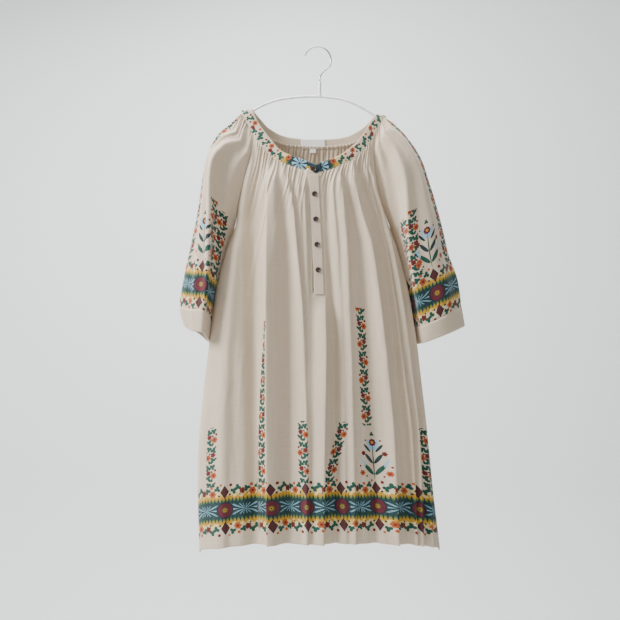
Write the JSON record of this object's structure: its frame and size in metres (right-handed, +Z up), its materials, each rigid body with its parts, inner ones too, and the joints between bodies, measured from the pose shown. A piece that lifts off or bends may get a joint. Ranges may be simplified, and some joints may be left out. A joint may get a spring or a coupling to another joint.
{
  "type": "peasant dress on a wire hanger",
  "caption": "Knee-length peasant dress with raglan sleeves and a gathered neckband, hanging flat on a plain wire hanger.",
  "frame": {"origin": "inside of the top of the hanger's hook, where it rests on what holds it", "axes": "+Z up, front of the dress towards -Y, +X towards the right of someone facing the front"},
  "size_m": [0.5994, 0.1183, 1.0632],
  "materials": {
    "ecru_cotton": "matte woven cotton",
    "printed_band": "matte printed cotton",
    "button": "dull dark brown",
    "woven_tab": "smooth woven tape",
    "coated_wire": "white dipped coating",
    "plated_wire": "plated steel"
  },
  "bodies": {
    "root": {"front": "ecru_cotton", "back": "ecru_cotton", "sleeve_left": "ecru_cotton", "sleeve_right": "ecru_cotton", "cuff_left": "ecru_cotton", "cuff_right": "ecru_cotton", "neckband": "printed_band", "placket": "ecru_cotton", "placket_under": "ecru_cotton", "button_1": "button", "button_2": "button", "button_3": "button", "button_4": "button", "button_5": "button", "label": "woven_tab", "size_tab": "woven_tab", "hanger_bar": "coated_wire", "hanger_stem": "coated_wire", "hanger_hook": "plated_wire"}
  },
  "joints": []
}
